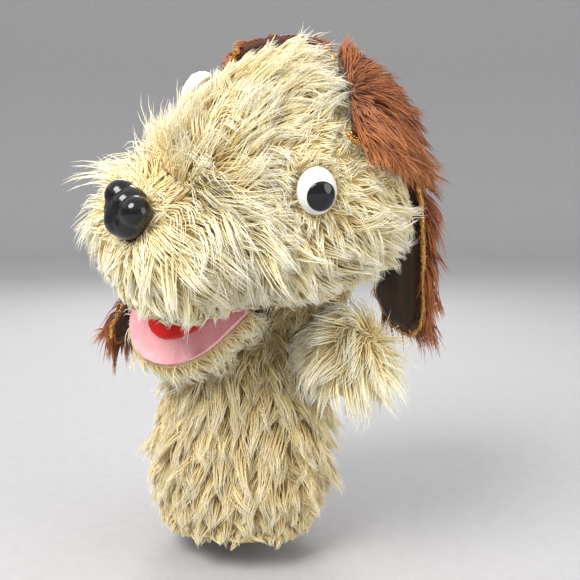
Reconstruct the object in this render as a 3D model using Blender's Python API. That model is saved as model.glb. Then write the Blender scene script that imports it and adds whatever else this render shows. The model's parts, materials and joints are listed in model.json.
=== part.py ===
"""Shaggy dog glove puppet, held up on a hand: sleeve, neck, head, jaw, ears and arms as separate solids.

Metres, +Z up. The origin is the centre of the sleeve's opening. The body faces -Y, and its left is +X.
Fur cloth is modelled as its backing and pressed pile together. Head pieces are made in the head's own
axes (x to its left, y backwards, z up from the neck pivot) and hang on an empty that turns them.
"""

import math

import bmesh
import bpy
from mathutils import Euler, Matrix, Quaternion, Vector

# Fit between neighbours
GAP = 0.0003

# Sleeve: (height, half width, half depth) of the fur cloth's outer face
SLEEVE_RINGS = (
    (0.0, 0.041, 0.037),
    (0.014, 0.043, 0.039),
    (0.045, 0.043, 0.038),
    (0.072, 0.038, 0.034),
    (0.088, 0.033, 0.029),
)
SLEEVE_LEAN = 0.08
CLOTH = 0.005
HEM_HEIGHT = 0.0135
HEM_LIFT = 0.001
HEM_THICK = 0.0015

# Neck pivot, and how the head is held at rest: turned to its right, tilted to its left, nodding forward
NECK = Vector((0.009, 0.0, 0.105))
HEAD_TURN = -12.8
HEAD_TILT = 29.1
HEAD_NOD = 12.4
NECK_CLOTH = 0.004
NECK_LOW_RING = (Vector((-0.001, 0.003, -0.009)), 0.0325, 0.0265)
NECK_SPLIT_RING = (Vector((0, 0.007, 0)), 0.031, 0.0235)
NECK_HIGH_RING = (Vector((0, 0.0165, 0.016)), 0.034, 0.0235)
NECK_RIM_RING = (Vector((0, 0.0240, 0)), 0.037, 0.0235)

# Skull: a ball of fur cloth, open below the rim plane
SKULL_CENTRE = Vector((0.0, 0.0075, 0.069))
SKULL_RADIUS = 0.056
SKULL_WALL = 0.006
GUSSET_HALF = 0.013
RIM = 0.033

# Muzzle: (how far forward, half width, arch height above the straight walls)
MUZZLE_RINGS = (
    (0.020, 0.036, 0.030),
    (0.045, 0.0345, 0.0285),
    (0.058, 0.031, 0.0255),
    (0.0665, 0.024, 0.020),
    (0.071, 0.014, 0.011),
)
MUZZLE_SPRING = 0.054
MUZZLE_WALL = 0.005

# Mouth plates, as D outlines
PLATE_HALF = 0.0275
PALATE_BACK, PALATE_FRONT = 0.020, 0.0625
FELT = 0.0015
BOARD = 0.0015
MOUTH_HALF = 0.028
JAW_HINGE = Vector((0.0, -0.0195, 0.030))
JAW_OPEN = 40.0
JAW_LENGTH = 0.052
JAW_BACK = 0.003
JAW_EDGE = 0.002
JAW_DEPTH = 0.0195
JAW_WALL = 0.0045
JAW_SHELF = 0.024
JAW_SHALLOW = 0.05
TONGUE_HALF = 0.017
TONGUE_LENGTH = 0.041
TONGUE_BACK = 0.007
TONGUE_THICK = 0.0015

# Pockets for the hand. The finger pocket's middle line is given as (y, z) in the head's axes.
FINGER_PATH = (
    (0.014, 0.0335),
    (0.013, 0.046),
    (0.004, 0.056),
    (-0.012, 0.0585),
    (-0.032, 0.0560),
    (-0.052, 0.0535),
)
FINGER_HALF = 0.025
FINGER_HEIGHT = 0.0205
THUMB_HALF = 0.014
THUMB_HEIGHT = 0.0112
THUMB_LENGTH = 0.040
POCKET_CLOTH = 0.0012

# Safety eyes and nose, with washers behind the cloth
EYE_WAY = Vector((0.80, -0.344, 0.491)).normalized()
EYE_SIZE = Vector((0.0077, 0.0090, 0.0062))
EYE_BACK = 0.0552
EYE_FOOT = 0.0008
EYE_STEM_END = -0.0109
EYE_WASHER_TOP = -0.0064
PUPIL_RADIUS = 0.0056
PUPIL_SHIFT = Vector((0.0006, -0.0018, 0.0))
PUPIL_FLOOR = 0.0030
STEM_RADIUS = 0.0022
WASHER_RADIUS = 0.0065
WASHER_THICK = 0.0014
NOSE_CENTRE = Vector((0.0, -0.0668, 0.0735))
NOSE_SIZE = Vector((0.0118, 0.0105, 0.0080))
NOSE_PITCH = 62.0
NOSE_FOOT = -0.0040
NOSE_STEM_END = -0.0165
NOSE_WASHER_TOP = -0.0140

# Ears, as a front and a rear edge, measured from the skull's centre along the sleeve's axes. The cloth
# lies on the skull at first, then hangs. The last station is the tip.
EAR_THICK = 0.007
EAR_LINING = 0.0012
EAR_CLEAR = 0.0014
EAR_DROP = 0.012
EAR_BLEND = 0.016
EDGING_RADIUS = 0.0009
EDGING_GAP = 0.0021
EAR_LEFT_FRONT = (
    (0.045, -0.020, 0.017),
    (0.0515, -0.004, 0.008),
    (0.0450, 0.033, 0.004),
    (0.0462, 0.037, -0.022),
    (0.0460, 0.0385, -0.046),
    (0.0440, 0.0415, -0.062),
)
EAR_LEFT_REAR = (
    (0.030, -0.006, 0.042),
    (0.029, 0.020, 0.044),
    (0.012, 0.048, 0.028),
    (0.006, 0.0585, 0.002),
    (0.005, 0.0610, -0.030),
    (0.014, 0.0600, -0.058),
)
EAR_LEFT_TIP = (0.030, 0.0515, -0.072)
EAR_RIGHT_FRONT = (
    (-0.013, -0.007, 0.050),
    (-0.030, 0.001, 0.046),
    (-0.048, -0.001, 0.028),
    (-0.0575, -0.006, -0.004),
    (-0.067, -0.016, -0.040),
    (-0.078, -0.027, -0.068),
)
EAR_RIGHT_REAR = (
    (0.019, -0.003, 0.049),
    (-0.002, 0.030, 0.047),
    (-0.030, 0.038, 0.030),
    (-0.050, 0.033, 0.000),
    (-0.066, 0.020, -0.036),
    (-0.081, 0.000, -0.066),
)
EAR_RIGHT_TIP = (-0.0860, -0.019, -0.081)

# Arms: (distance from the shoulder's pivot, radius of the fur cloth's outer face)
ARM_RINGS = (
    (-0.0060, 0.0068),
    (0.000, 0.0092),
    (0.007, 0.0140),
    (0.016, 0.0170),
    (0.0235, 0.0150),
    (0.0285, 0.0085),
)
ARM_WALL = 0.004
ARM_LEFT_PIVOT = Vector((0.0515, 0.001, 0.0870))
ARM_LEFT_WAY = Vector((0.972, 0.02, 0.235)).normalized()
ARM_RIGHT_PIVOT = Vector((-0.0370, 0.014, 0.0850))
ARM_RIGHT_WAY = Vector((-0.22, 0.965, 0.10)).normalized()

AROUND = 28


# Scene and materials


def clear_scene():
    for old in list(bpy.data.objects):
        bpy.data.objects.remove(old, do_unlink=True)


def material(name, colour, roughness, metallic=0.0):
    made = bpy.data.materials.new(name)
    made.use_nodes = True
    shader = made.node_tree.nodes["Principled BSDF"]
    shader.inputs["Base Color"].default_value = (*colour, 1.0)
    shader.inputs["Roughness"].default_value = roughness
    shader.inputs["Metallic"].default_value = metallic
    return made


def make_materials():
    return {
        "cream_fur": material("cream_fur", (0.83, 0.76, 0.55), 0.9),
        "brown_fur": material("brown_fur", (0.26, 0.09, 0.03), 0.9),
        "ear_lining": material("ear_lining", (0.10, 0.04, 0.02), 0.85),
        "gold_thread": material("gold_thread", (0.62, 0.43, 0.20), 0.4, 0.6),
        "pink_felt": material("pink_felt", (0.86, 0.47, 0.50), 0.95),
        "red_felt": material("red_felt", (0.74, 0.03, 0.02), 0.9),
        "white_plastic": material("white_plastic", (0.92, 0.92, 0.90), 0.15),
        "black_plastic": material("black_plastic", (0.01, 0.01, 0.012), 0.12),
        "washer_plastic": material("washer_plastic", (0.80, 0.79, 0.74), 0.5),
        "stuffing": material("stuffing", (0.90, 0.90, 0.87), 1.0),
        "pocket_cloth": material("pocket_cloth", (0.80, 0.76, 0.66), 0.9),
        "card": material("card", (0.52, 0.42, 0.30), 0.8),
    }


def empty(name, location, rotation=(0.0, 0.0, 0.0), parent=None):
    made = bpy.data.objects.new(name, None)
    bpy.context.scene.collection.objects.link(made)
    made.parent = parent
    made.location = location
    made.rotation_euler = [math.radians(a) for a in rotation]
    return made


# Meshes


def add_object(name, mesh, surface, parent=None, matrix=None):
    made = bpy.data.objects.new(name, mesh)
    bpy.context.scene.collection.objects.link(made)
    made.parent = parent
    if matrix is not None:
        made.matrix_local = matrix
    if surface is not None:
        mesh.materials.append(surface)
    mesh.shade_smooth()
    mesh.set_sharp_from_angle(angle=math.radians(45))
    return made


def mesh_from(name, points, faces):
    mesh = bpy.data.meshes.new(name)
    mesh.from_pydata([tuple(p) for p in points], [], faces)
    shape = bmesh.new()
    shape.from_mesh(mesh)
    bmesh.ops.recalc_face_normals(shape, faces=shape.faces)
    bmesh.ops.triangulate(shape, faces=shape.faces[:])
    shape.to_mesh(mesh)
    shape.free()
    return mesh


def loft(name, rings):
    """A closed body through rings of the same number of points, capped at both ends."""
    count = len(rings[0])
    points = [p for ring in rings for p in ring]
    faces = [tuple(range(count)), tuple(range(len(points) - count, len(points)))]
    for level in range(len(rings) - 1):
        for i in range(count):
            j = (i + 1) % count
            low, high = level * count, (level + 1) * count
            faces.append((low + i, low + j, high + j, high + i))
    return mesh_from(name, points, faces)


def slab(name, outer, inner):
    """A curved sheet with thickness, from two grids of points (rows by columns)."""
    rows, columns = len(outer), len(outer[0])
    points = [p for row in outer for p in row] + [p for row in inner for p in row]
    half = rows * columns
    faces = []
    for r in range(rows - 1):
        for c in range(columns - 1):
            here, below = r * columns + c, (r + 1) * columns + c
            corners = (here, here + 1, below + 1, below)
            faces.append(corners)
            faces.append(tuple(half + k for k in reversed(corners)))
    border = [c for c in range(columns)]
    border += [r * columns + columns - 1 for r in range(1, rows)]
    border += [(rows - 1) * columns + c for c in range(columns - 2, -1, -1)]
    border += [r * columns for r in range(rows - 2, 0, -1)]
    for a, b in zip(border, border[1:] + border[:1]):
        faces.append((a, b, half + b, half + a))
    return mesh_from(name, points, faces)


def tube_wall(name, outer, inner):
    """A tube open at both ends, from two equal stacks of rings."""
    count, levels = len(outer[0]), len(outer)
    points = [p for ring in outer for p in ring] + [p for ring in inner for p in ring]
    half = count * levels
    faces = []
    for i in range(count):
        j = (i + 1) % count
        for level in range(levels - 1):
            a, b = level * count, (level + 1) * count
            faces.append((a + i, a + j, b + j, b + i))
            faces.append((half + a + i, half + b + i, half + b + j, half + a + j))
        top = (levels - 1) * count
        faces.append((i, half + i, half + j, j))
        faces.append((top + i, top + j, half + top + j, half + top + i))
    return mesh_from(name, points, faces)


def cup_wall(name, outer, inner):
    """A shell open at its first ring and closed at its last, from two stacks of rings."""
    count = len(outer[0])
    points = [p for ring in outer for p in ring] + [p for ring in inner for p in ring]
    half = count * len(outer)
    faces = []
    for first, levels in ((0, len(outer)), (half, len(inner))):
        for level in range(levels - 1):
            a, b = first + level * count, first + (level + 1) * count
            for i in range(count):
                j = (i + 1) % count
                faces.append((a + i, a + j, b + j, b + i))
        last = first + (levels - 1) * count
        faces.append(tuple(range(last, last + count)))
    for i in range(count):
        j = (i + 1) % count
        faces.append((i, half + i, half + j, j))
    return mesh_from(name, points, faces)


def ellipse(centre, across, along, half_across, half_along, count=AROUND):
    points = []
    for i in range(count):
        t = 2 * math.pi * i / count
        points.append(centre + across * (half_across * math.cos(t)) + along * (half_along * math.sin(t)))
    return points


def ball_rings(centre, pole, radius, low, high, levels, count=AROUND):
    """Rings of a ball from the angle low to the angle high above its equator, in degrees."""
    side = pole.orthogonal().normalized()
    other = pole.cross(side)
    rings = []
    for i in range(levels):
        angle = math.radians(low + (high - low) * i / (levels - 1))
        middle = centre + pole * (radius * math.sin(angle))
        reach = radius * math.cos(angle)
        rings.append(ellipse(middle, side, other, reach, reach, count))
    return rings


def outline_plate(name, outline, bottom, top):
    return loft(name, [[Vector((x, y, z)) for x, y in outline] for z in (bottom, top)])


def d_outline(half, back, front, steps=14):
    """The outline of a mouth plate seen from above: straight sides, round front. Forward is -y."""
    straight = 0.4 * front
    points = [(half, -back)]
    for i in range(steps + 1):
        t = math.pi * i / steps
        points.append((half * math.cos(t), -(straight + (front - straight) * math.sin(t))))
    points.append((-half, -back))
    return points


# Cutting and joining


def helper(name, mesh, parent=None, matrix=None):
    made = add_object(name, mesh, None, parent, matrix)
    made.hide_render = True
    made.display_type = "WIRE"
    return made


def cut(target, *tools, operation="DIFFERENCE"):
    for tool in tools:
        step = target.modifiers.new(tool.name, "BOOLEAN")
        step.operation = operation
        step.solver = "EXACT"
        step.object = tool


def box_mesh(name, low, high):
    outline = [(low[0], low[1]), (high[0], low[1]), (high[0], high[1]), (low[0], high[1])]
    return outline_plate(name, outline, low[2], high[2])


def facing(centre, out, up=Vector((0.0, 0.0, 1.0))):
    """A matrix at centre whose z points out, and whose y is as near to up as it can be."""
    side = up.cross(out).normalized()
    turn = Matrix((side, out.cross(side), out)).transposed()
    return Matrix.Translation(centre) @ turn.to_4x4()


def disc_rings(radius, heights, count=16):
    x, y = Vector((1, 0, 0)), Vector((0, 1, 0))
    return [ellipse(Vector((0, 0, h)), x, y, radius, radius, count) for h in heights]


# Sleeve


def sleeve_arc(ring, inset, first, last, count=15):
    height, half_width, half_depth = ring
    shift = SLEEVE_LEAN * height
    points = []
    for i in range(count):
        t = first + (last - first) * i / (count - 1)
        x = shift + (half_width - inset) * math.cos(t)
        points.append(Vector((x, (half_depth - inset) * math.sin(t), height)))
    return points


def sleeve_ring(ring, inset):
    height, half_width, half_depth = ring
    centre = Vector((SLEEVE_LEAN * height, 0, height))
    return ellipse(centre, Vector((1, 0, 0)), Vector((0, 1, 0)), half_width - inset, half_depth - inset)


def make_sleeve(surfaces):
    seam = GAP / 2 / SLEEVE_RINGS[0][1]
    for name, first in (("body_front", math.pi), ("body_back", 0.0)):
        ends = first + seam, first + math.pi - seam
        outer = [sleeve_arc(ring, 0.0, *ends) for ring in SLEEVE_RINGS]
        inner = [sleeve_arc(ring, CLOTH, *ends) for ring in SLEEVE_RINGS]
        add_object(name, slab(name, outer, inner), surfaces["cream_fur"])
    low, high = Vector(SLEEVE_RINGS[0]), Vector(SLEEVE_RINGS[1])
    rings = [low.lerp(high, height / high.x) for height in (HEM_LIFT, HEM_HEIGHT)]
    walls = [[sleeve_ring(ring, CLOTH + GAP + inset) for ring in rings] for inset in (0.0, HEM_THICK)]
    add_object("hem_facing", tube_wall("hem_facing", *walls), surfaces["pocket_cloth"])


# Neck


def neck_ring(turn, size, rise, inset):
    """A ring of the neck: its centre is set off from the pivot, and turned with turn."""
    offset, half_width, half_depth = size
    centre = NECK + turn @ (offset + Vector((0, 0, rise)))
    x, y = turn @ Vector((1, 0, 0)), turn @ Vector((0, 1, 0))
    return ellipse(centre, x, y, half_width - inset, half_depth - inset)


def neck_rings(head_turn, inset):
    """Rings from the sleeve's top edge to the head's rim, for the lower half and the upper half."""
    top_height, top_width, top_depth = SLEEVE_RINGS[-1]
    base = (top_height + GAP, top_width, top_depth)
    whole = head_turn.to_quaternion()
    half_turn = Quaternion().slerp(whole, 0.5).to_matrix()
    quarter = Quaternion().slerp(whole, 0.25).to_matrix()
    shift = Vector((-SLEEVE_LEAN * GAP, 0, 0))
    offset, half_width, half_depth = NECK_LOW_RING
    x, y = quarter @ Vector((1, 0, 0)), quarter @ Vector((0, 1, 0))
    low_ring = ellipse(NECK + offset, x, y, half_width - inset, half_depth - inset)
    lower = [
        [p + shift for p in sleeve_ring(base, inset)],
        low_ring,
        neck_ring(half_turn, NECK_SPLIT_RING, -GAP / 2, inset),
    ]
    upper = [
        neck_ring(half_turn, NECK_SPLIT_RING, GAP / 2, inset),
        neck_ring(head_turn, NECK_HIGH_RING, 0.0, inset),
        neck_ring(head_turn, NECK_RIM_RING, RIM - GAP, inset),
    ]
    return lower, upper


def make_neck(surfaces, head_turn):
    outer_low, outer_high = neck_rings(head_turn, 0.0)
    inner_low, inner_high = neck_rings(head_turn, NECK_CLOTH)
    halves = (
        ("neck_cloth_lower", outer_low, inner_low),
        ("neck_cloth_upper", outer_high, inner_high),
    )
    for name, outer, inner in halves:
        add_object(name, tube_wall(name, outer, inner), surfaces["cream_fur"])


# Head


def muzzle_rings(grow, reach_down, start=None, count=11):
    """Arches on straight walls: grow moves the surface out, or in where it is negative."""
    rings = []
    for index, (forward, half, rise) in enumerate(MUZZLE_RINGS):
        if index == 0 and start is not None:
            forward = start
        if index >= len(MUZZLE_RINGS) - 2:
            forward += grow
        arch = []
        for i in range(count):
            t = math.pi * i / (count - 1)
            c, s = math.cos(t), math.sin(t)
            across = math.copysign(abs(c) ** 0.8, c) * (half + grow)
            arch.append(Vector((across, -forward, MUZZLE_SPRING + s ** 0.8 * (rise + grow))))
        floor = RIM - reach_down
        corner = 0.92 * (half + grow)
        arch.append(Vector((-corner, -forward, floor)))
        arch.append(Vector((corner, -forward, floor)))
        rings.append(arch)
    return rings


def below(height):
    """Corners of a box that holds everything in the head's axes below a height."""
    return (-0.08, -0.10, -0.06), (0.08, 0.09, height)


def ball_of(radius):
    return ball_rings(SKULL_CENTRE, Vector((1, 0, 0)), radius, -86, 86, 11, 24)


def head_helpers(head):
    """Cutting shapes for the head, in the head's axes."""
    flat = box_mesh("below_rim", *below(RIM))
    bite = loft("muzzle_bite", muzzle_rings(GAP, 0.02))
    core = loft("muzzle_core", muzzle_rings(-MUZZLE_WALL, 0.02, start=0.005))
    ball = loft("skull_core", ball_of(SKULL_RADIUS - SKULL_WALL - 0.0001))
    duct = loft("finger_space", finger_rings(GAP))
    return {
        "flat": helper("below_rim", flat, head),
        "bite": helper("muzzle_bite", bite, head),
        "core": helper("muzzle_core", core, head),
        "ball": helper("skull_core", ball, head),
        "duct": helper("finger_space", duct, head),
    }


def finger_rings(grow, count=12):
    """The flat tube for four fingers: up from the neck, then forward over the palate."""
    path = [Vector((0, y, z)) for y, z in FINGER_PATH]
    rings = []
    for i, centre in enumerate(path):
        along = (path[min(i + 1, len(path) - 1)] - path[max(i - 1, 0)]).normalized()
        if i == 0:
            along = Vector((0, 0, 1))
        across = Vector((1, 0, 0))
        over = along.cross(across)
        taper = 1.0 if i < len(path) - 1 else 0.8
        half_wide = FINGER_HALF * taper + grow
        half_high = (FINGER_HEIGHT / 2) * taper + grow
        ring = []
        for k in range(count):
            t = 2 * math.pi * k / count
            c, s = math.cos(t), math.sin(t)
            wide = math.copysign(abs(c) ** 0.6, c) * half_wide
            high = math.copysign(abs(s) ** 0.6, s) * half_high
            ring.append(centre + across * wide + over * high)
        rings.append(ring)
    if grow > 0:
        rings[0] = [p + Vector((0, 0, -0.004)) for p in rings[0]]
    return rings


def eye_matrix(side):
    out = Vector((side * EYE_WAY.x, EYE_WAY.y, EYE_WAY.z))
    return facing(SKULL_CENTRE + out * EYE_BACK, out)


def make_skull(surfaces, head, tools):
    seam = math.degrees(math.asin((GUSSET_HALF + GAP / 2) / SKULL_RADIUS))
    inner_radius = SKULL_RADIUS - SKULL_WALL
    inner_seam = math.degrees(math.asin((GUSSET_HALF + GAP / 2) / inner_radius))
    for side, name in ((1, "head_side_left"), (-1, "head_side_right")):
        pole = Vector((side, 0, 0))
        outer = ball_rings(SKULL_CENTRE, pole, SKULL_RADIUS, seam, 84, 6)
        inner = ball_rings(SKULL_CENTRE, pole, inner_radius, inner_seam, 83, 5)
        panel = add_object(name, cup_wall(name, outer, inner), surfaces["cream_fur"], head)
        place = eye_matrix(side)
        seat = helper(f"{name}_eye_seat", loft("eye_seat", eye_seat_rings()), head, place)
        bore = loft("eye_hole", disc_rings(STEM_RADIUS + GAP, (-0.010, 0.004)))
        cut(panel, tools["flat"], tools["bite"], seat, helper(f"{name}_eye_hole", bore, head, place))
    pole = Vector((1, 0, 0))
    edge = math.degrees(math.asin((GUSSET_HALF - GAP / 2) / SKULL_RADIUS))
    inner_edge = math.degrees(math.asin((GUSSET_HALF - GAP / 2) / inner_radius))
    outer = ball_rings(SKULL_CENTRE, pole, SKULL_RADIUS, -edge, edge, 3)
    inner = ball_rings(SKULL_CENTRE, pole, inner_radius, -inner_edge, inner_edge, 3)
    strip = tube_wall("head_gusset", outer, inner)
    gusset = add_object("head_gusset", strip, surfaces["cream_fur"], head)
    cut(gusset, tools["flat"], tools["bite"])


def make_muzzle(surfaces, head, tools):
    place = nose_matrix()
    muzzle = add_object("muzzle", loft("muzzle", muzzle_rings(0.0, 0.01)), surfaces["cream_fur"], head)
    bore = loft("nose_hole", disc_rings(STEM_RADIUS + GAP, (-0.030, 0.004)))
    seat = loft("nose_seat", nose_rings(2 * GAP, low=NOSE_FOOT - 0.0005))
    cut(muzzle, tools["core"], tools["ball"], tools["flat"])
    cut(muzzle, helper("nose_hole", bore, head, place), helper("nose_seat", seat, head, place))


def make_padding(surfaces, head, tools):
    """Stuffing in the skull and the muzzle, above the mouth's boards and round the finger pocket."""
    lowest = FELT + BOARD + 5 * GAP
    fill = muzzle_rings(-MUZZLE_WALL - 3 * GAP, -lowest, start=0.002)
    padding = add_object("head_padding", loft("head_padding", fill), surfaces["stuffing"], head)
    round_part = loft("padding_ball", ball_of(SKULL_RADIUS - SKULL_WALL - 4 * GAP))
    cut(padding, helper("padding_ball", round_part, head), operation="UNION")
    floor = box_mesh("padding_floor", *below(RIM + lowest))
    cut(padding, helper("padding_floor", floor, head), tools["duct"])
    wells = (
        ("eye_well_left", eye_matrix(1), EYE_STEM_END),
        ("eye_well_right", eye_matrix(-1), EYE_STEM_END),
        ("nose_well", nose_matrix(), NOSE_STEM_END),
    )
    for name, place, stem_end in wells:
        well = loft(name, disc_rings(WASHER_RADIUS + 3 * GAP, (stem_end - 5 * GAP, 0.004)))
        cut(padding, helper(name, well, head, place))
    pocket = cup_wall("finger_pocket", finger_rings(0.0), finger_rings(-POCKET_CLOTH))
    add_object("finger_pocket", pocket, surfaces["pocket_cloth"], head)


def make_palate(surfaces, head):
    outline = d_outline(PLATE_HALF, PALATE_BACK, PALATE_FRONT)
    low = RIM + 2 * GAP
    felt = outline_plate("palate_felt", outline, low, low + FELT)
    add_object("palate_felt", felt, surfaces["pink_felt"], head)
    low += FELT + GAP
    board = outline_plate("mouth_board_upper", outline, low, low + BOARD)
    add_object("mouth_board_upper", board, surfaces["card"], head)


# Eyes and nose


def dome_rings(size, grow, low, levels=5, count=20):
    """An oval dome with a short straight foot down to low."""
    x, y = Vector((1, 0, 0)), Vector((0, 1, 0))
    rings = [ellipse(Vector((0, 0, low)), x, y, size.x + grow, size.y + grow, count)]
    for i in range(levels):
        t = math.radians(80) * i / (levels - 1)
        centre = Vector((0, 0, (size.z + grow) * math.sin(t)))
        reach = math.cos(t)
        rings.append(ellipse(centre, x, y, (size.x + grow) * reach, (size.y + grow) * reach, count))
    return rings


def eye_seat_rings():
    x, y = Vector((1, 0, 0)), Vector((0, 1, 0))
    half_x, half_y = EYE_SIZE.x + 2 * GAP, EYE_SIZE.y + 2 * GAP
    return [ellipse(Vector((0, 0, h)), x, y, half_x, half_y, 20) for h in (-EYE_FOOT - GAP, 0.012)]


def make_eye(surfaces, head, side, name):
    place = eye_matrix(side)
    shift = Vector((side * PUPIL_SHIFT.x, PUPIL_SHIFT.y, 0))
    dome = loft("eye_white", dome_rings(EYE_SIZE, 0.0, -EYE_FOOT))
    white = add_object(f"eye_white_{name}", dome, surfaces["white_plastic"], head, place)
    stem = loft("eye_stem", disc_rings(STEM_RADIUS, (EYE_STEM_END, 0.001), 12))
    cut(white, helper(f"eye_stem_{name}", stem, head, place), operation="UNION")
    well = disc_rings(PUPIL_RADIUS + GAP, (PUPIL_FLOOR, 0.012), 20)
    well = loft("pupil_well", [[p + shift for p in ring] for ring in well])
    cut(white, helper(f"pupil_well_{name}", well, head, place))
    disc = disc_rings(PUPIL_RADIUS, (PUPIL_FLOOR + GAP, 0.012), 20)
    disc = loft("pupil", [[p + shift for p in ring] for ring in disc])
    pupil = add_object(f"pupil_{name}", disc, surfaces["black_plastic"], head, place)
    lens = loft("pupil_lens", dome_rings(EYE_SIZE, 2 * GAP, 0.0))
    cut(pupil, helper(f"pupil_lens_{name}", lens, head, place), operation="INTERSECT")
    make_washer(f"eye_washer_{name}", surfaces, head, place, EYE_WASHER_TOP)


def make_washer(name, surfaces, head, place, top):
    """A ring on the stem, behind the cloth, with its upper face at the height top."""
    heights = (top - WASHER_THICK, top)
    ring = tube_wall(name, disc_rings(WASHER_RADIUS, heights), disc_rings(STEM_RADIUS + GAP, heights))
    add_object(name, ring, surfaces["washer_plastic"], head, place)


def nose_matrix():
    out = Vector((0, -math.sin(math.radians(NOSE_PITCH)), math.cos(math.radians(NOSE_PITCH))))
    return facing(NOSE_CENTRE, out)


def nose_rings(grow, low=NOSE_FOOT, count=24):
    """A rounded triangle, wide at the top, domed to the front. y points up the face of the nose."""
    steps = ((0.0, 1.0), (0.375, 0.97), (0.69, 0.82), (0.925, 0.52), (1.0, 0.2))
    rings = []
    for height, reach in ((low, 0.86), *((NOSE_SIZE.z * rise, reach) for rise, reach in steps)):
        ring = []
        for i in range(count):
            t = 2 * math.pi * i / count
            narrow = 1.0 - 0.24 * (1 - math.sin(t)) / 2 - 0.10 * math.cos(2 * t) ** 2
            x = (NOSE_SIZE.x * reach + grow) * narrow * math.cos(t)
            y = (NOSE_SIZE.y * reach + grow) * (0.94 + 0.06 * math.cos(3 * t + math.pi / 2)) * math.sin(t)
            lift = grow if height > 0.9 * NOSE_SIZE.z else 0.0
            ring.append(Vector((x, y, height + lift)))
        rings.append(ring)
    return rings


def make_nose(surfaces, head):
    place = nose_matrix()
    nose = add_object("nose", loft("nose", nose_rings(0.0)), surfaces["black_plastic"], head, place)
    stem = loft("nose_stem", disc_rings(STEM_RADIUS, (NOSE_STEM_END, -0.002), 12))
    cut(nose, helper("nose_stem", stem, head, place), operation="UNION")
    make_washer("nose_washer", surfaces, head, place, NOSE_WASHER_TOP)


# Jaw


def jaw_bowl_rings(half, front, depth, back):
    """A shallow D-shaped bowl below the lower plate, flat on top. It narrows as it goes down, and it is
    a little shallower at the hinge."""
    rings = []
    for level, reach in ((0.0, 1.0), (0.45, 0.98), (0.8, 0.88), (1.0, 0.70)):
        outline = d_outline(half * reach, back, front * (0.75 + 0.25 * reach))
        ring = []
        for x, y in outline:
            near = max(0.0, 1 - (-y - JAW_BACK) / JAW_SHELF)
            ring.append(Vector((x, y, -GAP - depth * level * (1 - JAW_SHALLOW * near))))
        rings.append(ring)
    return rings


def thumb_rings(grow, count=12):
    """The thumb's flat tube, under the lower board. Where it grows, its open end reaches back too."""
    rings = []
    centre = -BOARD - 2 * GAP - THUMB_HEIGHT / 2 - 0.0001
    entry = JAW_BACK - 0.0005 - (0.01 if grow > 0 else 0.0)
    for forward, taper in ((entry, 1.0), (THUMB_LENGTH * 0.75, 1.0), (THUMB_LENGTH, 0.8)):
        ring = []
        for k in range(count):
            t = 2 * math.pi * k / count
            c, s = math.cos(t), math.sin(t)
            wide = math.copysign(abs(c) ** 0.7, c) * (THUMB_HALF * taper + grow)
            high = math.copysign(abs(s) ** 0.7, s) * (THUMB_HEIGHT / 2 * taper + grow)
            ring.append(Vector((wide, -forward, centre + high)))
        rings.append(ring)
    return rings


def make_jaw(surfaces, jaw):
    back = JAW_BACK
    half, front = MOUTH_HALF + JAW_EDGE, JAW_LENGTH + JAW_EDGE
    inner_half, inner_front = half - JAW_WALL, front - JAW_WALL
    felt = outline_plate("lower_mouth_felt", d_outline(MOUTH_HALF, back, JAW_LENGTH), 0.0, FELT)
    add_object("lower_mouth_felt", felt, surfaces["pink_felt"], jaw)
    low = FELT + GAP
    outline = d_outline(TONGUE_HALF, TONGUE_BACK, TONGUE_LENGTH)
    tongue = outline_plate("tongue", outline, low, low + TONGUE_THICK)
    add_object("tongue", tongue, surfaces["red_felt"], jaw)
    outline = d_outline(inner_half - GAP, back, inner_front - GAP)
    board = outline_plate("mouth_board_lower", outline, -GAP - BOARD, -GAP)
    add_object("mouth_board_lower", board, surfaces["card"], jaw)
    bowl = loft("jaw_fur", jaw_bowl_rings(half, front, JAW_DEPTH, back))
    cover = add_object("jaw_fur", bowl, surfaces["cream_fur"], jaw)
    hollow = jaw_bowl_rings(inner_half, inner_front, JAW_DEPTH - JAW_WALL, back - 0.004)
    hollow[0] = [p + Vector((0, 0, 0.002)) for p in hollow[0]]
    cut(cover, helper("jaw_hollow", loft("jaw_hollow", hollow), jaw))
    fill = jaw_bowl_rings(inner_half - GAP, inner_front - GAP, JAW_DEPTH - JAW_WALL - GAP, back)
    fill[0] = [Vector((p.x, p.y, -BOARD - 2 * GAP)) for p in fill[0]]
    padding = add_object("jaw_padding", loft("jaw_padding", fill), surfaces["stuffing"], jaw)
    cut(padding, helper("thumb_space", loft("thumb_space", thumb_rings(GAP)), jaw))
    pocket = cup_wall("thumb_pocket", thumb_rings(0.0), thumb_rings(-POCKET_CLOTH))
    add_object("thumb_pocket", pocket, surfaces["pocket_cloth"], jaw)


# Ears


def smooth_route(points, steps):
    """Points evenly placed between the given ones on a Catmull-Rom curve."""
    ends = [points[0] * 2 - points[1], *points, points[-1] * 2 - points[-2]]
    route = []
    for i in range(1, len(ends) - 2):
        a, b, c, d = ends[i - 1 : i + 3]
        for k in range(steps):
            t = k / steps
            bend = (a * 2 - b * 5 + c * 4 - d) * t**2 + (b * 3 - a - c * 3 + d) * t**3
            route.append((b * 2 + (c - a) * t + bend) / 2)
    return route + [points[-1]]


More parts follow.
